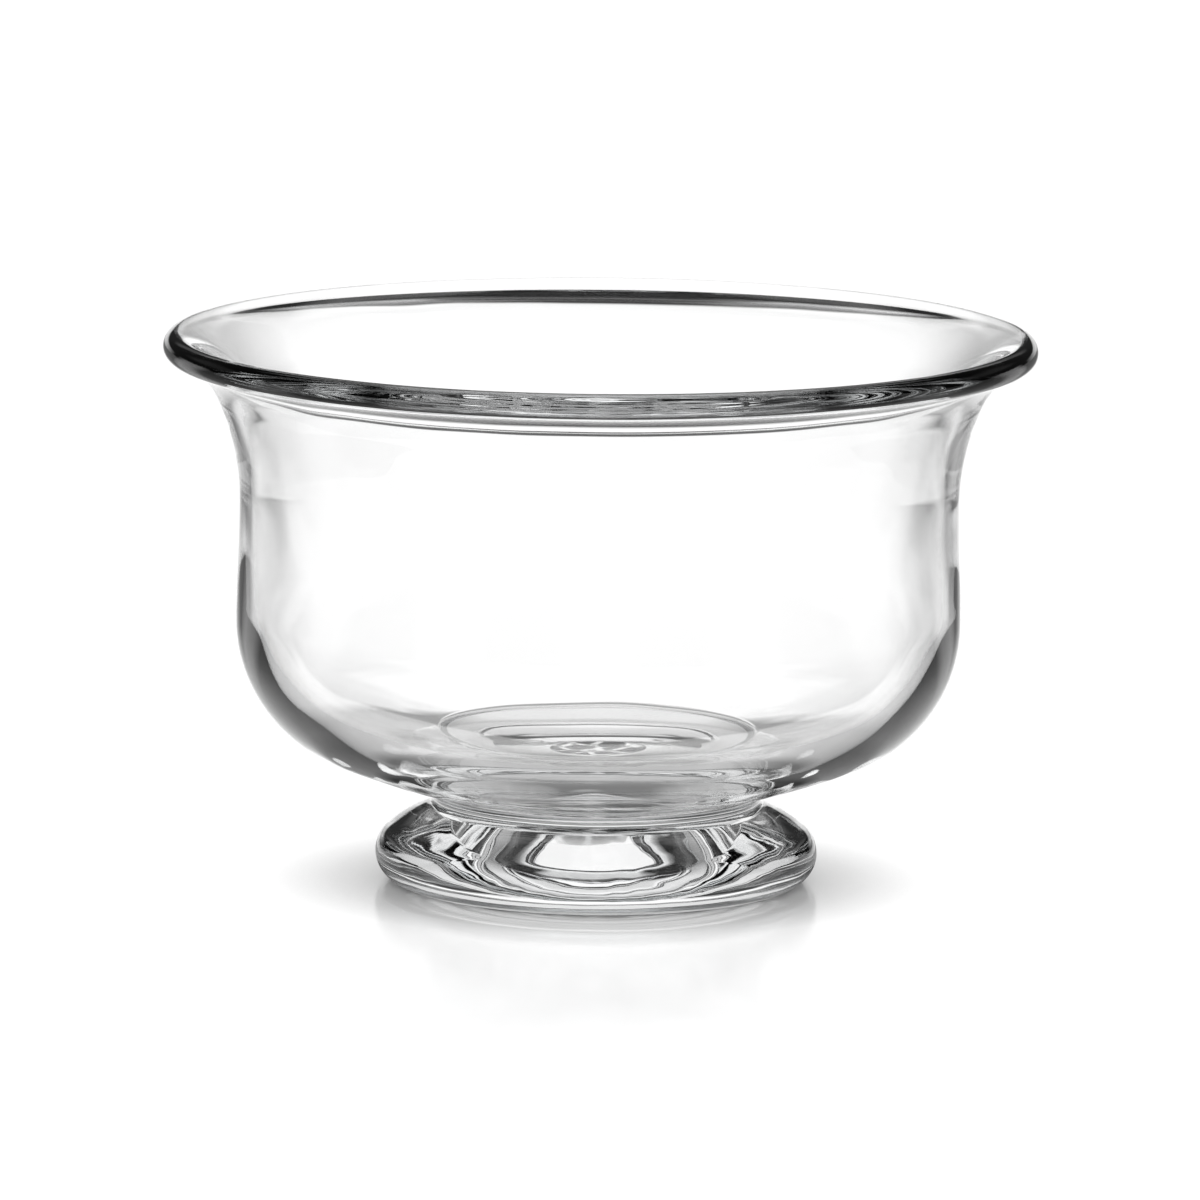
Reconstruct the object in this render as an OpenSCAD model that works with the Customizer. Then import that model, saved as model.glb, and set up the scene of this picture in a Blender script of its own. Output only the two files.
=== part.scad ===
// A hand-blown glass bowl with a flared, fire-polished rim, standing on a foot of
// applied glass. The underside of the foot keeps the mark of the pontil rod that
// held the bowl while its rim was finished.
// Millimetres, +Z up. The origin is on the table, under the centre of the foot.

/* [Bowl] */
// Outside diameter of the rim
rim_diameter = 203; // [190:1:220]
// Height from the table to the top of the rim
overall_height = 128.5; // [120:1:140]
// Thickness of the rounded rim
rim_thickness = 6.3; // [5:0.1:7.5]
// Angle between the flare and the vertical where it meets the rim
rim_tilt = 75; // [55:1:80]
// Outside radius of the gentle curve of the flare, above the waist
flare_radius = 57; // [45:1:70]
// Outside radius of the sharper curve under the rim, as a share of the flare's reach
lip_share = 1; // [0.7:0.05:1.1]
// Outside diameter at the belly, as a share of the rim's diameter
belly_share = 0.83; // [0.79:0.005:0.86]
// Height of the belly above the table
belly_height = 61.4; // [57:1:66]
// How far the side draws in from the belly to the waist, under the flare
waist_draw = 0.6; // [0:0.1:3]
// Thickness of the side
wall_thickness = 4; // [3:0.1:5.5]
// Outside radius of the corner, as a share of the height from the foot to the belly
corner_share = 0.867; // [0.75:0.01:0.93]
// Inside radius of the corner, as a share of its outside radius
inner_corner_share = 0.887; // [0.8:0.01:0.95]
// Height of the centre of the inner corner above the belly
inner_corner_lift = 3.1; // [1:0.1:5]
// Thickness of the bowl's own glass over the middle of the foot
floor_thickness = 1.5; // [1:0.1:6]

/* [Foot] */
// Diameter of the foot at its widest
foot_diameter = 103; // [94:0.2:112]
// Height of the underside of the bowl at the neck
foot_height = 21.6; // [18:0.2:23]
// Diameter of the neck between the foot and the bowl
neck_diameter = 76.2; // [70:0.2:84]
// Radius of the rounded edge of the foot
foot_edge_radius = 6.9; // [6:0.1:8]
// Height of the widest place of the foot, as a share of that radius
foot_widest_share = 0.98; // [0.8:0.01:0.98]
// Radius of the swelling shoulder, between the edge and the neck
shoulder_radius = 34; // [26:1:50]
// Height where the shoulder would reach the neck, as a share of the foot's height
shoulder_share = 0.838; // [0.78:0.002:0.87]
// Radius of the rounded groove round the neck
groove_radius = 2.4; // [1.8:0.1:3]

/* [Underside] */
// Diameter of the hollow in the underside of the foot
hollow_diameter = 58; // [48:1:70]
// Depth of the hollow at its centre
hollow_depth = 5; // [3.5:0.5:7]
// Diameter of the broken glass that the pontil rod left
mark_diameter = 26; // [18:1:34]
// Thickness of that glass
mark_thickness = 2.4; // [1.6:0.2:3]
// Number of shell-shaped chips in its broken face
mark_chips = 5; // [3:1:7]

/* [Hidden] */
// Facets of a full turn, and steps along each curve of an outline
$fn = 180;
curve_steps = 16;

rim_r = rim_diameter / 2;
bead_r = rim_thickness / 2;
belly_r = rim_r * belly_share;
waist_r = belly_r - waist_draw;
neck_r = neck_diameter / 2;
foot_r = foot_diameter / 2;
hollow_r = hollow_diameter / 2;
mark_r = mark_diameter / 2;

// The centre of the rounded rim
bead_centre = [rim_r - bead_r, overall_height - bead_r];

// Where two circles cross, on the left of the way from the first centre to the second
function meet(first, first_radius, second, second_radius) =
    let (gap = norm(second - first), way = (second - first) / gap)
    let (along = (pow(first_radius, 2) - pow(second_radius, 2) + pow(gap, 2)) / (2 * gap))
    first + along * way + sqrt(pow(first_radius, 2) - pow(along, 2)) * [-way.y, way.x];

// The bottom of the bowl is a ball's cap, centred on the axis. It passes through
// the top of the neck and runs smoothly into the corner.
corner_rise = belly_height - foot_height;
corner_radius = corner_rise * corner_share;
corner_centre = [belly_r - corner_radius, belly_height];
cap_term = pow(neck_r, 2) + pow(corner_radius, 2) - pow(corner_centre.x, 2) - pow(corner_rise, 2);
cap_spread = pow(corner_rise, 2) - pow(corner_radius, 2);
cap_rise = (-cap_term * corner_rise
    + corner_radius * sqrt(pow(cap_term, 2) + 4 * pow(neck_r, 2) * cap_spread)) / (2 * cap_spread);
cap_centre = [0, foot_height + cap_rise];
cap_radius = norm([neck_r, cap_rise]);

// The foot's rounded edge, and the shoulder that swells from it up to the neck
edge_centre = [foot_r - foot_edge_radius, foot_edge_radius * foot_widest_share];
shoulder_centre = meet(edge_centre, shoulder_radius - foot_edge_radius,
    [neck_r, foot_height * shoulder_share], shoulder_radius);

// The groove round the neck runs smoothly from the shoulder to the cap. The foot's
// flat seat for the bowl lies where the groove and the cap touch.
groove_centre = meet(cap_centre, cap_radius + groove_radius,
    shoulder_centre, shoulder_radius + groove_radius);
seat_edge = cap_centre + (groove_centre - cap_centre) * cap_radius / (cap_radius + groove_radius);
seat_height = seat_edge.y;

// The floor is a ball's cap too, and runs smoothly into the inner corner
floor_height = seat_height + floor_thickness;
inner_belly_r = belly_r - wall_thickness;
inner_corner_radius = corner_radius * inner_corner_share;
inner_corner_centre = [inner_belly_r - inner_corner_radius, belly_height + inner_corner_lift];
inner_corner_rise = inner_corner_centre.y - floor_height;
floor_radius = (pow(inner_corner_centre.x, 2) + pow(inner_corner_rise, 2)
    - pow(inner_corner_radius, 2)) / (2 * (inner_corner_rise - inner_corner_radius));
floor_centre = [0, floor_height + floor_radius];

// The hollow under the foot is part of a ball, flat where the pontil mark sits
hollow_centre = [0, (pow(mark_r, 2) + pow(hollow_depth, 2) - pow(hollow_r, 2)) / (2 * hollow_depth)];

// Each chip is part of a ball that bites into the broken face of the mark
chip_ring_share = 0.72;
chip_radius_share = 0.62;
chip_bite_share = 0.45;

// The angle of the line from one point to another
function angle_to(from, to) = atan2(to.y - from.y, to.x - from.x);

// Points of an arc round a centre, between two angles
function arc(centre, radius, from, to) =
    [for (i = [0:curve_steps]) let (a = from + (to - from) * i / curve_steps)
        centre + radius * [cos(a), sin(a)]];

// Points of a gentle S from one upright stretch to another
function ease(from, to) =
    [for (i = [1:curve_steps - 1]) let (share = i / curve_steps)
        [from.x + (to.x - from.x) * (1 - cos(180 * share)) / 2, from.y + (to.y - from.y) * share]];

// The flare leaves the waist upright on a gentle arc, and goes on with a sharper one
// that has the rim's tilt where it reaches the rim. This is the angle between them.
function flare_turn(waist_radius, rim, gentle, sharp) =
    acos((gentle - sharp * cos(rim_tilt) - (rim.x - waist_radius)) / (gentle - sharp));

// Points of the flare, from the waist to the rim
function flare(waist_radius, rim, gentle, sharp) =
    let (turn = flare_turn(waist_radius, rim, gentle, sharp))
    let (sharp_centre = rim + sharp * [cos(rim_tilt), -sin(rim_tilt)])
    let (gentle_centre = sharp_centre + (gentle - sharp) * [cos(turn), -sin(turn)])
    concat(arc(gentle_centre, gentle, 180, 180 - turn),
        arc(sharp_centre, sharp, 180 - turn, 180 - rim_tilt));

function reversed(points) = [for (i = [len(points) - 1:-1:0]) points[i]];

// The unit step from the middle of the rim to its outer side, and the sharper curve
// of the flare, from how far the outside of the flare reaches out from the waist
rim_out = [cos(rim_tilt), -sin(rim_tilt)];
flare_reach = bead_centre.x + bead_r * rim_out.x - waist_r;
lip_radius = flare_reach * lip_share;

// The blown body: floor, corner, side, flare and rounded rim in one piece of glass
module bowl() {
    outer_flare = flare(waist_r, bead_centre + bead_r * rim_out, flare_radius, lip_radius);
    inner_flare = flare(waist_r - wall_thickness, bead_centre - bead_r * rim_out,
        flare_radius + wall_thickness, lip_radius + rim_thickness);
    outer = concat(
        arc(cap_centre, cap_radius, angle_to(cap_centre, seat_edge), angle_to(cap_centre, corner_centre)),
        arc(corner_centre, corner_radius, angle_to(cap_centre, corner_centre), 0),
        ease([belly_r, belly_height], outer_flare[0]),
        outer_flare);
    rim = arc(bead_centre, bead_r, -rim_tilt, 180 - rim_tilt);
    inner = concat(
        arc(floor_centre, floor_radius, -90, angle_to(floor_centre, inner_corner_centre)),
        arc(inner_corner_centre, inner_corner_radius, angle_to(floor_centre, inner_corner_centre), 0),
        ease([inner_belly_r, inner_corner_centre.y], inner_flare[0]),
        inner_flare);
    color("azure")
        rotate_extrude()
            polygon(concat([[0, seat_height]], outer, rim, reversed(inner)));
}

// The applied foot: a swelling disc of glass, hollow underneath, with a short neck
module foot() {
    edge_turn = angle_to(shoulder_centre, edge_centre);
    neck_turn = angle_to(shoulder_centre, groove_centre);
    outer = concat(
        arc(edge_centre, foot_edge_radius, -asin(foot_widest_share), edge_turn),
        arc(shoulder_centre, shoulder_radius, edge_turn, neck_turn),
        arc(groove_centre, groove_radius, 180 + neck_turn, angle_to(groove_centre, seat_edge)));
    hollow = arc(hollow_centre, norm([hollow_r, hollow_centre.y]),
        angle_to(hollow_centre, [mark_r, hollow_depth]), angle_to(hollow_centre, [hollow_r, 0]));
    color("lightcyan")
        rotate_extrude()
            polygon(concat(outer, [[0, seat_height], [0, hollow_depth]], hollow));
}

// The broken glass left by the pontil rod, with shell-shaped chips in its face
module pontil_mark() {
    face_height = hollow_depth - mark_thickness;
    chip_radius = mark_r * chip_radius_share;
    color("lightblue")
        difference() {
            rotate_extrude()
                polygon([[0, face_height], [mark_r - mark_thickness, face_height],
                    [mark_r, hollow_depth], [0, hollow_depth]]);
            for (i = [0:mark_chips - 1])
                rotate(360 * i / mark_chips)
                    translate([mark_r * chip_ring_share, 0,
                        face_height - chip_radius + mark_thickness * chip_bite_share])
                        sphere(chip_radius);
        }
}

bowl();
foot();
pontil_mark();
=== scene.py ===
# A clear, hand-blown footed bowl on a pale table, lit from behind.
import bpy
import bmesh
import math
from mathutils import Matrix, Vector, noise


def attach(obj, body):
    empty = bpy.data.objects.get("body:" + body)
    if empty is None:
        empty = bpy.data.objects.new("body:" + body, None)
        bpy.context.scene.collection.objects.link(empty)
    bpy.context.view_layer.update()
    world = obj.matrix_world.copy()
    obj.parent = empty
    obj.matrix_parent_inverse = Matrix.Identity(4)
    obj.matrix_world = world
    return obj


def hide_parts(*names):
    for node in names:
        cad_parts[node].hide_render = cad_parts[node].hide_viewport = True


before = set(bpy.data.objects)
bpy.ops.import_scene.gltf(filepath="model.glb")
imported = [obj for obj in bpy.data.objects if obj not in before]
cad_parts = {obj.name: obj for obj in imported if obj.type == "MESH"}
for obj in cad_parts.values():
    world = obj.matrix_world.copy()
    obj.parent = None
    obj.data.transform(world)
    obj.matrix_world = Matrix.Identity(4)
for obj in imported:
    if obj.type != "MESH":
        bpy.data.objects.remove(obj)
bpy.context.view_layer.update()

# Sizes in millimetres, the same as the solid model's
MM = 0.001
RIM_RADIUS = 101.5
OVERALL_HEIGHT = 128.5
RIM_THICKNESS = 6.3
RIM_TILT = 75
FLARE_RADIUS = 57
LIP_SHARE = 1
BELLY_SHARE = 0.83
BELLY_HEIGHT = 61.4
WAIST_DRAW = 0.6
WALL = 4
CORNER_SHARE = 0.867
INNER_CORNER_SHARE = 0.887
INNER_CORNER_LIFT = 3.1
FLOOR_THICKNESS = 1.5
FOOT_RADIUS = 51.5
FOOT_HEIGHT = 21.6
NECK_RADIUS = 38.1
FOOT_EDGE = 6.9
FOOT_WIDEST_SHARE = 0.98
SHOULDER_RADIUS = 34
SHOULDER_SHARE = 0.838
GROOVE_RADIUS = 2.4
HOLLOW_RADIUS = 29
HOLLOW_DEPTH = 5
MARK_RADIUS = 13
MARK_THICKNESS = 2.4

# The worn edge of the broken glass, as steps in from its side and down from the hollow
MARK_EDGE = [(0.5, 0.9), (1.3, 1.7)]
# How far its face stops short of its side
MARK_DRAW = 2.2

# The solid's turned faces stop this far short of its true circles
FACET_GAP = 0.012

# Steps of a full turn, along a curve and along a level line
TURN_STEPS = 240
CURVE_STEPS = 26
GROOVE_STEPS = 16
SEAT_STEPS = 8
MARK_STEPS = 6
FACE_STEPS = 16


# Outlines, as (radius, height) in millimetres

def arc(centre, radius, start, end, steps=CURVE_STEPS):
    """Points of an arc between two angles in degrees."""
    points = []
    for i in range(steps + 1):
        a = math.radians(start + (end - start) * i / steps)
        points.append((centre[0] + radius * math.cos(a), centre[1] + radius * math.sin(a)))
    return points


def ease(start, end, steps=CURVE_STEPS):
    """Points of a gentle S between two upright stretches."""
    points = []
    for i in range(1, steps):
        share = i / steps
        lean = (1 - math.cos(math.pi * share)) / 2
        points.append((start[0] + (end[0] - start[0]) * lean, start[1] + (end[1] - start[1]) * share))
    return points


def level(radius, height, steps):
    """Points of a level line from the axis out to a radius."""
    return [(radius * i / steps, height) for i in range(steps + 1)]


def angle_to(start, end):
    """The angle of the line from one point to another, in degrees."""
    return math.degrees(math.atan2(end[1] - start[1], end[0] - start[0]))


def flare(waist, rim, gentle, sharp):
    """The flare: a gentle arc out of the waist, and a sharper one up to the rim."""
    tilt = math.radians(RIM_TILT)
    step = gentle - sharp
    turn = math.acos((gentle - sharp * math.cos(tilt) - (rim[0] - waist)) / step)
    sharp_centre = (rim[0] + sharp * math.cos(tilt), rim[1] - sharp * math.sin(tilt))
    gentle_centre = (sharp_centre[0] + step * math.cos(turn), sharp_centre[1] - step * math.sin(turn))
    turn = math.degrees(turn)
    points = arc(gentle_centre, gentle, 180, 180 - turn)
    return points + arc(sharp_centre, sharp, 180 - turn, 180 - RIM_TILT)


def meet(first, first_radius, second, second_radius):
    """Where two circles cross, on the left of the way from the first centre to the second."""
    way = Vector(second) - Vector(first)
    gap = way.length
    way.normalize()
    along = (first_radius ** 2 - second_radius ** 2 + gap ** 2) / (2 * gap)
    across = math.sqrt(first_radius ** 2 - along ** 2)
    return Vector(first) + way * along + Vector((-way.y, way.x)) * across


# The bowl's underside is a ball's cap that runs smoothly into the corner
BELLY_RADIUS = RIM_RADIUS * BELLY_SHARE
CORNER_RISE = BELLY_HEIGHT - FOOT_HEIGHT
CORNER_RADIUS = CORNER_RISE * CORNER_SHARE
CORNER_CENTRE = Vector((BELLY_RADIUS - CORNER_RADIUS, BELLY_HEIGHT))
CAP_TERM = NECK_RADIUS ** 2 + CORNER_RADIUS ** 2 - CORNER_CENTRE.x ** 2 - CORNER_RISE ** 2
CAP_SPREAD = CORNER_RISE ** 2 - CORNER_RADIUS ** 2
CAP_ROOT = math.sqrt(CAP_TERM ** 2 + 4 * NECK_RADIUS ** 2 * CAP_SPREAD)
CAP_RISE = (CORNER_RADIUS * CAP_ROOT - CAP_TERM * CORNER_RISE) / (2 * CAP_SPREAD)
CAP_CENTRE = Vector((0, FOOT_HEIGHT + CAP_RISE))
CAP_RADIUS = math.hypot(NECK_RADIUS, CAP_RISE)

# The shoulder of the foot swells from its edge, and a groove runs from it to the cap
EDGE_CENTRE = Vector((FOOT_RADIUS - FOOT_EDGE, FOOT_EDGE * FOOT_WIDEST_SHARE))
SHOULDER_TOP = (NECK_RADIUS, FOOT_HEIGHT * SHOULDER_SHARE)
SHOULDER_CENTRE = meet(EDGE_CENTRE, SHOULDER_RADIUS - FOOT_EDGE, SHOULDER_TOP, SHOULDER_RADIUS)
GROOVE_CENTRE = meet(CAP_CENTRE, CAP_RADIUS + GROOVE_RADIUS,
                     SHOULDER_CENTRE, SHOULDER_RADIUS + GROOVE_RADIUS)
SEAT_EDGE = CAP_CENTRE + (GROOVE_CENTRE - CAP_CENTRE).normalized() * CAP_RADIUS


def bowl_outline():
    """From the seat on the foot, up the outside, over the rim and down to the floor."""
    bead = RIM_THICKNESS / 2
    bead_centre = (RIM_RADIUS - bead, OVERALL_HEIGHT - bead)
    out_x = math.cos(math.radians(RIM_TILT))
    out_z = -math.sin(math.radians(RIM_TILT))
    waist = BELLY_RADIUS - WAIST_DRAW
    inner_belly = BELLY_RADIUS - WALL
    inner_corner = CORNER_RADIUS * INNER_CORNER_SHARE
    inner_centre = (inner_belly - inner_corner, BELLY_HEIGHT + INNER_CORNER_LIFT)
    floor_height = SEAT_EDGE.y + FLOOR_THICKNESS
    drop = inner_centre[1] - floor_height
    floor_radius = (inner_centre[0] ** 2 + drop ** 2 - inner_corner ** 2) / (2 * (drop - inner_corner))
    floor_centre = (0, floor_height + floor_radius)
    lip = (bead_centre[0] + bead * out_x - waist) * LIP_SHARE
    outside = (bead_centre[0] + bead * out_x, bead_centre[1] + bead * out_z)
    inside = (bead_centre[0] - bead * out_x, bead_centre[1] - bead * out_z)
    outer_flare = flare(waist, outside, FLARE_RADIUS, lip)
    inner_flare = flare(waist - WALL, inside, FLARE_RADIUS + WALL, lip + RIM_THICKNESS)
    turn = angle_to(CAP_CENTRE, CORNER_CENTRE)
    outer = arc(CAP_CENTRE, CAP_RADIUS, angle_to(CAP_CENTRE, SEAT_EDGE), turn)
    outer += arc(CORNER_CENTRE, CORNER_RADIUS, turn, 0)
    outer += ease((BELLY_RADIUS, BELLY_HEIGHT), outer_flare[0]) + outer_flare
    rim = arc(bead_centre, bead, -RIM_TILT, 180 - RIM_TILT)
    turn = angle_to(floor_centre, inner_centre)
    inner = arc(floor_centre, floor_radius, -90, turn) + arc(inner_centre, inner_corner, turn, 0)
    inner += ease((inner_belly, inner_centre[1]), inner_flare[0]) + inner_flare
    seat = level(SEAT_EDGE.x, SEAT_EDGE.y, SEAT_STEPS)[:-1]
    return seat + outer + rim + inner[::-1]


def foot_outline():
    """From the middle of the seat, down the neck, over the shoulder and edge, into the hollow."""
    edge_turn = angle_to(SHOULDER_CENTRE, EDGE_CENTRE)
    neck_turn = angle_to(SHOULDER_CENTRE, GROOVE_CENTRE)
    seat_turn = angle_to(GROOVE_CENTRE, SEAT_EDGE)
    widest_turn = math.degrees(math.asin(FOOT_WIDEST_SHARE))
    hollow_sag = (MARK_RADIUS ** 2 + HOLLOW_DEPTH ** 2 - HOLLOW_RADIUS ** 2) / (2 * HOLLOW_DEPTH)
    hollow_centre = (0, hollow_sag)
    seat = level(SEAT_EDGE.x, SEAT_EDGE.y, SEAT_STEPS)[:-1]
    outer = arc(GROOVE_CENTRE, GROOVE_RADIUS, seat_turn, 180 + neck_turn, GROOVE_STEPS)
    outer += arc(SHOULDER_CENTRE, SHOULDER_RADIUS, neck_turn, edge_turn)
    outer += arc(EDGE_CENTRE, FOOT_EDGE, edge_turn, -widest_turn)
    hollow = arc(hollow_centre, math.hypot(HOLLOW_RADIUS, hollow_sag),
                 angle_to(hollow_centre, (HOLLOW_RADIUS, 0)),
                 angle_to(hollow_centre, (MARK_RADIUS, HOLLOW_DEPTH)))
    middle = level(MARK_RADIUS, HOLLOW_DEPTH, MARK_STEPS)[:-1]
    return seat + outer + hollow + middle[::-1]


def mark_outline():
    """The broken glass, from the foot's hollow down to its face and in to the middle."""
    top = level(MARK_RADIUS, HOLLOW_DEPTH, MARK_STEPS)
    side = [(MARK_RADIUS - step, HOLLOW_DEPTH - drop) for step, drop in MARK_EDGE]
    face = level(MARK_RADIUS - MARK_DRAW, HOLLOW_DEPTH - MARK_THICKNESS, FACE_STEPS)
    return top + side + face[::-1]


# Handwork: how far the glass strays from a true turned shape, in millimetres

# Waves of the blown body and lumps round its neck: how deep, how broad, and a seed
BODY_WAVES = [(0.16, 48, 3), (0.05, 17, 9)]
NECK_LUMPS = (0.1, 9, 21)
LUMPS_HEIGHT = 24.5
LUMPS_SPREAD = 4.5
# The side of the foot has long streaks, and folds where it is wrinkled. Each has its
# depth, its number of bumps in about a sixth of a turn, its height and its seed.
SIDE_TOP = 20.5
SIDE_FADE = 3
STREAK_DEPTH = 0.1
STREAK_BUMPS = 1.7
STREAK_HEIGHT = 5
STREAK_SEED = 40
WRINKLED_BUMPS = 1.9
WRINKLED_SEED = 7.4
FOLD_DEPTH = 0.09
FOLD_BUMPS = 6.5
FOLD_HEIGHT = 2.2
FOLD_SEED = 12
# Shell-shaped breaks, with finer waves on them. Glass this close to the hollow stays put.
SHELL_BREADTH = 5.5
SHELL_SEED = 2.6
SHELL_DEPTH = 2.0
SHELL_LEVEL = 0.9
SHELL_WAVES = (0.3, 2.6, 50)
MARK_HOLD = 0.2


def wave(place, depth, breadth, seed):
    """Smooth noise up to depth high, with bumps about breadth millimetres across."""
    return depth * noise.noise(Vector((place.x / breadth, place.y / breadth, place.z / breadth + seed)))


def side_noise(around, height, bumps, seed):
    """Smooth noise that is drawn out along the round of the foot."""
    place = Vector((math.cos(around) * bumps, math.sin(around) * bumps, height))
    return noise.noise(place + Vector((0, 0, seed)))


def bowl_handwork(place, out):
    """A slow waver of the whole body, and lumps where it was pressed on the foot."""
    slow = sum(wave(place, *each) for each in BODY_WAVES)
    if out.z >= 0:
        return slow
    near_neck = max(0.0, 1 - abs(place.z - LUMPS_HEIGHT) / LUMPS_SPREAD)
    return slow + near_neck * wave(place, *NECK_LUMPS)


def foot_handwork(place, out):
    """Long waves in the side of the foot, drawn out along its round, with wrinkled places."""
    height = place.z
    above_table = max(0.0, min(1.0, height / SIDE_FADE))
    below_neck = max(0.0, min(1.0, (SIDE_TOP - height) / SIDE_FADE))
    around = math.atan2(place.y, place.x)
    streaks = STREAK_DEPTH * side_noise(around, height / STREAK_HEIGHT, STREAK_BUMPS, STREAK_SEED)
    wrinkled = max(0.0, side_noise(around, 0, WRINKLED_BUMPS, WRINKLED_SEED)) ** 0.5
    folds = FOLD_DEPTH * wrinkled * side_noise(around, height / FOLD_HEIGHT, FOLD_BUMPS, FOLD_SEED)
    return above_table * below_neck * (streaks + folds)


def mark_handwork(place, out):
    """Shell-shaped breaks in the face that came off the rod."""
    if place.z > HOLLOW_DEPTH - MARK_HOLD:
        return 0.0
    cells = noise.voronoi(Vector((place.x / SHELL_BREADTH, place.y / SHELL_BREADTH, SHELL_SEED)))
    from_middle = cells[0][0]
    return SHELL_LEVEL - SHELL_DEPTH * from_middle + wave(place, *SHELL_WAVES)


# Turning an outline into a piece of glass

# Points closer than these are one point, on the outline and where the turn closes
SAME_POINT = 1e-3
SAME_CORNER = 1e-4
# How far off a fused face a corner may be and still lie on it
SEAM_SLACK = 0.01
# Edges that turn by more than this, in degrees, look sharp
SHARP_EDGE = 35
SHARP_BREAK = 14


def placed(name, bm):
    """An object at the origin, made from a finished bmesh."""
    mesh = bpy.data.meshes.new(name)
    bm.to_mesh(mesh)
    bm.free()
    piece = bpy.data.objects.new(name, mesh)
    bpy.context.scene.collection.objects.link(piece)
    return piece


def kept_inside(place):
    """The nearest place that is no wider, higher or lower than the solid bowl."""
    reach = max(math.hypot(place.x, place.y), 1e-6)
    share = min(1.0, (RIM_RADIUS - FACET_GAP) / reach)
    height = min(max(place.z, 0.0), OVERALL_HEIGHT - FACET_GAP)
    return Vector((place.x * share, place.y * share, height))


def on_seam(place, seams, slack=0.0):
    """Whether a place is on one of the level discs where a piece is fused to the next."""
    return any(abs(place.z - height) < SEAM_SLACK and math.hypot(place.x, place.y) < radius + slack
               for height, radius in seams)


def turned_piece(name, outline, handwork, seams, material, sharp=SHARP_EDGE):
    """Spins an outline, lets the maker's hand wander over it, and marks the fused faces."""
    bm = bmesh.new()
    points = [outline[0]]
    for point in outline[1:]:
        if math.dist(point, points[-1]) > SAME_POINT:
            points.append(point)
    dots = [bm.verts.new((r, 0, z)) for r, z in points]
    lines = [bm.edges.new(pair) for pair in zip(dots, dots[1:])]
    bmesh.ops.spin(bm, geom=dots + lines, cent=(0, 0, 0), axis=(0, 0, 1),
                   angle=math.tau, steps=TURN_STEPS, use_merge=True)
    bmesh.ops.remove_doubles(bm, verts=bm.verts, dist=SAME_CORNER)
    bmesh.ops.recalc_face_normals(bm, faces=bm.faces)
    bm.normal_update()
    for edge in bm.edges:
        edge.smooth = edge.calc_face_angle(0) < math.radians(sharp)
    moves = []
    for vert in bm.verts:
        if not on_seam(vert.co, seams, SEAM_SLACK):
            moves.append((vert, vert.normal * handwork(vert.co, vert.normal)))
    for vert, move in moves:
        vert.co = kept_inside(vert.co + move)
    for face in bm.faces:
        face.smooth = True
    bmesh.ops.scale(bm, vec=(MM, MM, MM), verts=bm.verts)
    piece = placed(name, bm)
    fused = piece.data.attributes.new("fused", "FLOAT", "FACE")
    for face in piece.data.polygons:
        fused.data[face.index].value = float(on_seam(face.center / MM, seams))
    piece.data.materials.append(material)
    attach(piece, "root")
    return piece


# Shader maths

class Wire:
    """A socket that can be used in sums."""

    def __init__(self, bench, socket):
        self.bench = bench
        self.socket = socket

    def __add__(self, other):
        return self.bench.sum("ADD", self, other)

    def __sub__(self, other):
        return self.bench.sum("SUBTRACT", self, other)

    def __rsub__(self, other):
        return self.bench.sum("SUBTRACT", other, self)

    def __mul__(self, other):
        return self.bench.sum("MULTIPLY", self, other)

    def __truediv__(self, other):
        return self.bench.sum("DIVIDE", self, other)

    __radd__ = __add__
    __rmul__ = __mul__


class Bench:
    """The nodes of one material or of the surroundings."""

    def __init__(self, tree):
        self.tree = tree
        tree.nodes.clear()

    def node(self, kind, settings=None, **sockets):
        """A node with its settings, and its sockets by name or as i0, i1 and so on."""
        made = self.tree.nodes.new("ShaderNode" + kind)
        for key, value in (settings or {}).items():
            if key == "stops":
                self.stops(made.color_ramp, value)
            else:
                setattr(made, key, value)
        for key, value in sockets.items():
            self.feed(made.inputs[self.find(made, key)], value)
        return made

    def find(self, made, key):
        names = [socket.name.replace(" ", "_") for socket in made.inputs]
        return int(key[1:]) if key[0] == "i" and key[1:].isdigit() else names.index(key)

    def feed(self, socket, value):
        """Sets a socket, or links it to a wire, an output or a node's first output."""
        if isinstance(value, Wire):
            value = value.socket
        if isinstance(value, bpy.types.Node):
            value = value.outputs[0]
        if isinstance(value, bpy.types.NodeSocket):
            self.tree.links.new(value, socket)
        else:
            socket.default_value = value

    def stops(self, ramp, stops):
        while len(ramp.elements) > 1:
            ramp.elements.remove(ramp.elements[0])
        for i, (place, value) in enumerate(stops):
            stop = ramp.elements[0] if i == 0 else ramp.elements.new(place)
            stop.position = place
            stop.color = (value, value, value, 1)

    def sum(self, operation, first, second=0.0):
        made = self.node("Math", {"operation": operation}, i0=first, i1=second)
        return Wire(self, made.outputs[0])

    def wire(self, made, name):
        return Wire(self, made.outputs[name])

    def ramp(self, value, stops, reach=1.0):
        """A value by stops. Their places go up to reach, and the value's own go up to 1."""
        shares = [(place / reach, shade) for place, shade in stops]
        made = self.node("ValToRGB", {"stops": shares}, Fac=value)
        return self.wire(made, "Color")


def new_material(name):
    material = bpy.data.materials.new(name)
    material.use_nodes = True
    return material, Bench(material.node_tree)


# Glass

GLASS_INDEX = 1.5
# The tint of its depth, and how strongly a metre of it tints
GLASS_TINT = (0.55, 0.6, 0.62, 1)
GLASS_DENSITY = 1.2
BREAK_ROUGHNESS = 0.12
# Painted shade: the dark diffuse mixed into the broken glass of the mark
PAINTED_SHADE_COLOUR = (0.015, 0.016, 0.018, 1)
# How high the ripples in each surface stand, in metres
BLOWN_RIPPLE = 0.00006
FOOT_RIPPLE = 0.0001
BREAK_RIPPLE = 0.0007
# Breaks to a metre, and how much painted shade each gets by the distance in from its edge
BREAKS = 125.0
BREAK_PAINTED_SHADE = [(0.0, 0.0), (0.07, 0.05), (0.15, 0.9), (1.0, 0.97)]


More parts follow.
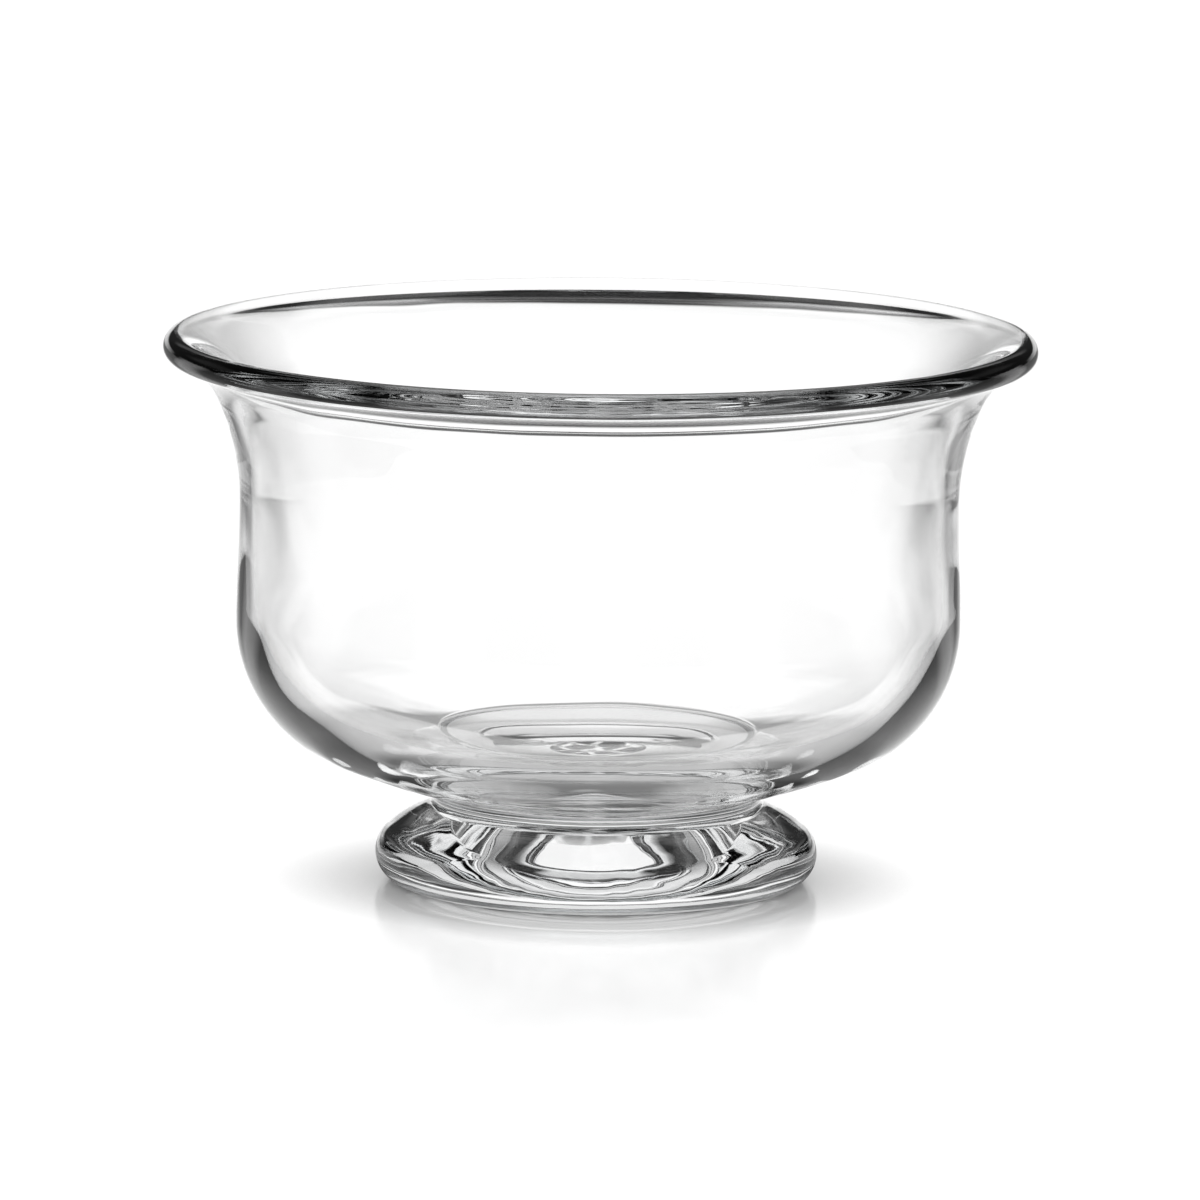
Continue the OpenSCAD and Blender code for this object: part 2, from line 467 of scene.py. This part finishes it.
def glass(name, roughness, marks, shade=None):
    """Clear glass with slow ripples in it. Faces fused to the next piece let light straight through."""
    material, bench = new_material(name)
    place = bench.node("TexCoord").outputs["Object"]
    bump = bench.node("Bump", Strength=1.0, Distance=1.0, Height=marks(bench, place))
    body = bench.node("BsdfPrincipled", Base_Color=(1, 1, 1, 1), Roughness=roughness, IOR=GLASS_INDEX,
                      Transmission_Weight=1.0, Normal=bump)
    # Painted shade: where a shade is given, a dark diffuse is mixed into the glass
    if shade:
        dark = bench.node("BsdfDiffuse", Color=PAINTED_SHADE_COLOUR)
        body = bench.node("MixShader", i0=shade(bench, place), i1=body, i2=dark)
    fused = bench.wire(bench.node("Attribute", {"attribute_name": "fused"}), "Fac")
    mixed = bench.node("MixShader", i0=fused, i1=body, i2=bench.node("BsdfTransparent"))
    depth = bench.node("VolumeAbsorption", Color=GLASS_TINT, Density=GLASS_DENSITY)
    bench.node("OutputMaterial", Surface=mixed, Volume=depth)
    return material


def blown_ripples(bench, place):
    """Very slow, shallow waves that the breath and the tools leave."""
    waves = bench.node("TexNoise", Vector=place, Scale=22.0, Detail=1.0, Roughness=0.4)
    return (bench.wire(waves, "Fac") - 0.5) * BLOWN_RIPPLE


def foot_ripples(bench, place):
    """Finer cords of glass that run round the foot."""
    stretch = bench.node("Mapping", Vector=place, Scale=(0.7, 0.7, 3))
    cords = bench.node("TexNoise", Vector=stretch, Scale=70.0, Detail=2.0, Roughness=0.5)
    return (bench.wire(cords, "Fac") - 0.5) * FOOT_RIPPLE


def broken_ripples(bench, place):
    """The small waves and hackles of broken glass."""
    hackle = bench.node("TexNoise", Vector=place, Scale=420.0, Detail=4.0, Roughness=0.6)
    return (bench.wire(hackle, "Fac") - 0.5) * BREAK_RIPPLE


def broken_painted_shade(bench, place):
    """Painted shade: each shell-shaped break is painted dark in its bowl and left clear along its
    edges.
    """
    breaks = bench.node("TexVoronoi", {"feature": "DISTANCE_TO_EDGE"}, Vector=place, Scale=BREAKS)
    return bench.ramp(bench.wire(breaks, "Distance"), BREAK_PAINTED_SHADE)


blown = glass("blown_glass", 0.0, blown_ripples)
pressed = glass("foot_glass", 0.0, foot_ripples)
# The broken glass of the mark gets painted shade in the bowls of its breaks
broken = glass("broken_glass", BREAK_ROUGHNESS, broken_ripples, broken_painted_shade)

SEAT = (SEAT_EDGE.y, SEAT_EDGE.x)
MARK_SEAT = (HOLLOW_DEPTH, MARK_RADIUS)
body = turned_piece("blown_body", bowl_outline(), bowl_handwork, [SEAT], blown)
foot = turned_piece("applied_foot", foot_outline(), foot_handwork, [SEAT, MARK_SEAT],
                    pressed)
mark = turned_piece("pontil_glass", mark_outline(), mark_handwork, [MARK_SEAT],
                    broken, SHARP_BREAK)
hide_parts("bowl")
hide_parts("foot")
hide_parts("pontil_mark")


# Table

TABLE_RADIUS = 30
TABLE_STEPS = 96
TABLE_GREY = (0.3, 0.3, 0.3, 1)
SHINE_ROUGHNESS = 0.17
# How much of the table is reflection, from looking straight down to looking along it
SHINE_SHARE = [(0.0, 0.02), (0.5, 0.05), (0.78, 0.15), (0.82, 0.38), (1.0, 0.6)]
# How far from the glass its soft shade on the table reaches, in metres
SHADE_REACH = 0.032
# How fast it deepens towards the foot
SHADE_DEPTH = 1.2
SHADE_SAMPLES = 16


def disc(name, drop):
    """A large flat disc that takes the whole of the picture's floor."""
    bm = bmesh.new()
    bmesh.ops.create_circle(bm, cap_ends=True, segments=TABLE_STEPS, radius=TABLE_RADIUS)
    bmesh.ops.translate(bm, vec=(0, 0, -drop), verts=bm.verts)
    piece = placed(name, bm)
    material, bench = new_material(name)
    piece.data.materials.append(material)
    return piece, bench


def table():
    """A pale table top. It shows white, a soft shade of the glass and its reflection."""
    top, bench = disc("table_top", 0)
    grey = bench.node("BsdfDiffuse", Color=TABLE_GREY)
    closed = bench.node("AmbientOcclusion", {"samples": SHADE_SAMPLES}, Distance=SHADE_REACH)
    shade = bench.sum("POWER", bench.wire(closed, "AO"), SHADE_DEPTH)
    glow = bench.node("Emission", Color=shade, Strength=1.0)
    plain = bench.node("AddShader", i0=grey, i1=glow)
    shine = bench.node("BsdfGlossy", Color=(1, 1, 1, 1), Roughness=SHINE_ROUGHNESS)
    facing = bench.wire(bench.node("LayerWeight", Blend=0.5), "Facing")
    mixed = bench.node("MixShader", i0=bench.ramp(facing, SHINE_SHARE), i1=plain, i2=shine)
    bench.node("OutputMaterial", Surface=mixed)
    top.visible_transmission = False
    top.visible_glossy = False


# A second disc just below is the table that the light in the glass meets
UNDER_DROP = 0.00002
# How bright it is near the foot, by distance from the middle in metres
NEAR_BEHIND = [(0, 0.8), (0.028, 0.8), (0.032, 0.6), (0.045, 0.6), (0.048, 0.75),
               (0.056, 0.75), (0.062, 0.3), (0.084, 0.3), (0.095, 1.0)]
NEAR_SIDES = [(0, 0.6), (0.028, 0.6), (0.032, 0.5), (0.044, 0.5), (0.048, 0.1),
              (0.056, 0.1), (0.064, 0.5), (0.085, 0.55), (0.1, 0.85)]
NEAR_FRONT = [(0, 0.9), (0.01, 0.9), (0.014, 0.15), (0.028, 0.2), (0.034, 0.5),
              (0.056, 0.5), (0.062, 0.85), (0.095, 1.0)]
NEAR_REACH = 0.2
# How bright it is between the lit lanes, by distance up to the last stop
OPEN_TABLE = [(0, 1.0), (0.12, 0.8), (0.18, 0.5), (0.25, 0.35), (0.4, 0.25), (0.8, 0.2)]
# The lit lane behind the glass: its width near the foot, and what each metre adds to it
LANE_START = 0.1
LANE_SPREAD = 0.11
# Beyond this distance the lane widens to the width of the low panel behind it
LANE_OPENS = 1.0
LANE_OPENING = 0.35
# Where across the lane it starts to fade and where it ends, as shares of twice its width
LANE_FADES = 0.36
LANE_ENDS = 0.75
# The narrow lanes of the other views: how many in a turn, how bright, and their edges
LOBES = 8.0
LOBE_LIGHT = 0.65
LOBE_STARTS = 0.45
LOBE_FULL = 0.9
# How bright all that the light in the glass meets is, against its stops
SKY_SCALE = 1.16

# Angles from the back, in degrees, where each light is still full and where it has gone
HALF_TURN = 180
NEAR_BACK_ANGLES = (38, 78)
NEAR_FRONT_ANGLES = (90, 140)
REAR_ANGLES = (54, 99)
BEHIND_ANGLES = (12, 16)
LOW_ANGLES = (14, 30)
FLANK_ANGLES = (28, 38)


def angles(bench, across, back):
    """The angle round from the back, and how far round it is as a share of half a turn."""
    round_ = bench.sum("ARCTAN2", across, back)
    return round_, bench.sum("ABSOLUTE", round_) / math.pi


def up_to(bench, from_back, full, gone):
    """1 behind the glass up to one angle, then fading to 0 at another."""
    return bench.ramp(from_back, [(0, 1.0), (full, 1.0), (gone, 0.0), (HALF_TURN, 0.0)], HALF_TURN)


def lobes(bench, round_):
    """Narrow lit lanes, one every eighth of a turn, that stand behind the glass in other views."""
    lobe = bench.sum("COSINE", round_ * LOBES) * 0.5 + 0.5
    edges = [(0.0, 0.0), (LOBE_STARTS, 0.0), (LOBE_FULL, LOBE_LIGHT), (1.0, LOBE_LIGHT)]
    return bench.ramp(lobe, edges)


def near_foot(bench, far, from_back):
    """The table close round the foot: mostly in the foot's own shade."""
    rings = [bench.ramp(far / NEAR_REACH, stops, NEAR_REACH)
             for stops in (NEAR_BEHIND, NEAR_SIDES, NEAR_FRONT)]
    behind = up_to(bench, from_back, *NEAR_BACK_ANGLES)
    starts, full = NEAR_FRONT_ANGLES
    front = bench.ramp(from_back, [(0, 0.0), (starts, 0.0), (full, 1.0), (HALF_TURN, 1.0)], HALF_TURN)
    return rings[0] * behind + rings[2] * front + rings[1] * (1 - behind - front)


def lit_table():
    """The table as the light in the glass sees it: bright behind, with dark flanks."""
    under, bench = disc("table_under_glass", UNDER_DROP)
    way = bench.node("SeparateXYZ", Vector=bench.node("TexCoord").outputs["Object"])
    across = bench.wire(way, "X")
    back = bench.wire(way, "Y")
    far = bench.sum("SQRT", across * across + back * back)
    round_, from_back = angles(bench, across, back)
    near = near_foot(bench, far, from_back)
    width = bench.sum("MAXIMUM", far * LANE_SPREAD + LANE_START, (far - LANE_OPENS) * LANE_OPENING)
    spread = bench.sum("ABSOLUTE", across) / width * 0.5
    lane = bench.ramp(spread, [(0.0, 1.0), (LANE_FADES, 1.0), (LANE_ENDS, 0.0), (1.0, 0.0)])
    lane = lane * up_to(bench, from_back, *REAR_ANGLES)
    lane = bench.sum("MAXIMUM", lane, lobes(bench, round_))
    reach = OPEN_TABLE[-1][0]
    between = bench.ramp(far / reach, OPEN_TABLE, reach)
    glow = near * (between * (1 - lane) + lane) * SKY_SCALE
    bench.node("OutputMaterial", Surface=bench.node("Emission", Color=glow))
    under.visible_camera = False
    under.visible_diffuse = False
    under.visible_shadow = False


table()
lit_table()


# Surroundings: a low lit panel and a high one behind the glass, dark between and around them

# How bright each part of the sky is, by the angle above the table in degrees
UPRIGHT = 90
BEHIND = [(0, 1.2), (4, 1.2), (5, 0.4), (6, 0.04), (11, 0.04), (14, 0.2), (18, 0.2), (22, 0.8),
          (36, 0.9), (43, 1.15), (59, 1.15), (63, 0.3), (68, 0.03), (90, 0.02)]
FLANK = [(0, 0.03), (37, 0.03), (45, 1.1), (59, 1.1), (63, 0.2), (68, 0.03), (90, 0.02)]
AROUND = [(0, 0.02), (13, 0.03), (18, 0.12), (24, 0.12), (30, 0.03), (66, 0.02), (90, 0.02)]
LOW_PANEL = [(0, 1.15), (4, 1.15), (6, 0.0), (90, 0.0)]


def surroundings():
    """White to the camera and on the table's soft reflection, and lit panels to the glass."""
    world = bpy.data.worlds.new("studio")
    bpy.context.scene.world = world
    world.use_nodes = True
    bench = Bench(world.node_tree)
    way = bench.node("SeparateXYZ", Vector=bench.node("TexCoord").outputs["Generated"])
    height = bench.sum("ARCSINE", bench.wire(way, "Z")) / (math.pi / 2)
    round_, from_back = angles(bench, bench.wire(way, "X"), bench.wire(way, "Y"))
    behind = up_to(bench, from_back, *BEHIND_ANGLES)
    flank = up_to(bench, from_back, *FLANK_ANGLES)
    low = bench.sum("MAXIMUM", up_to(bench, from_back, *LOW_ANGLES), lobes(bench, round_))
    back_sky, side_sky, open_sky, low_sky = [bench.ramp(height, stops, UPRIGHT)
                                             for stops in (BEHIND, FLANK, AROUND, LOW_PANEL)]
    sides = open_sky * (1 - flank) + side_sky * flank
    panels = sides * (1 - behind) + back_sky * behind
    seen = bench.sum("MAXIMUM", panels, low * low_sky) * SKY_SCALE
    path = bench.node("LightPath")
    mirrored = bench.wire(path, "Is Glossy Ray")
    off_table = mirrored * (1 - bench.wire(path, "Is Singular Ray"))
    bent = bench.sum("MAXIMUM", mirrored, bench.wire(path, "Is Transmission Ray"))
    in_glass = bent * (1 - off_table)
    sky = bench.node("Background", Strength=seen * in_glass + (1 - in_glass))
    bench.node("OutputWorld", Surface=sky)


surroundings()


# Camera, fitted to the outline in the photograph

CAMERA_DISTANCE = 2.9
CAMERA_HEIGHT_ANGLE = 9.12
CAMERA_ROLL = 0.53
CAMERA_REACH = 100
SENSOR_WIDTH = 36
AIM_HEIGHT = 0.06598
PIXELS_PER_METRE = 4297.5
PICTURE_WIDTH = 1200
PICTURE_MIDDLE = 598.4


def camera():
    data = bpy.data.cameras.new("camera")
    eye = bpy.data.objects.new("camera", data)
    bpy.context.scene.collection.objects.link(eye)
    lift = math.radians(CAMERA_HEIGHT_ANGLE)
    back = Vector((0, -math.cos(lift), math.sin(lift)))
    eye.location = Vector((0, 0, AIM_HEIGHT)) + back * CAMERA_DISTANCE
    aim = (-back).to_track_quat("-Z", "Y").to_matrix()
    eye.rotation_euler = (aim @ Matrix.Rotation(math.radians(CAMERA_ROLL), 3, "Z")).to_euler()
    data.sensor_width = SENSOR_WIDTH
    data.lens = PIXELS_PER_METRE * CAMERA_DISTANCE / PICTURE_WIDTH * SENSOR_WIDTH
    data.shift_x = (PICTURE_WIDTH / 2 - PICTURE_MIDDLE) / PICTURE_WIDTH
    data.clip_end = CAMERA_REACH
    bpy.context.scene.camera = eye


camera()

scene = bpy.context.scene
scene.view_settings.view_transform = "Standard"
scene.cycles.max_bounces = 20
scene.cycles.transmission_bounces = 20
scene.cycles.glossy_bounces = 12
scene.cycles.transparent_max_bounces = 16
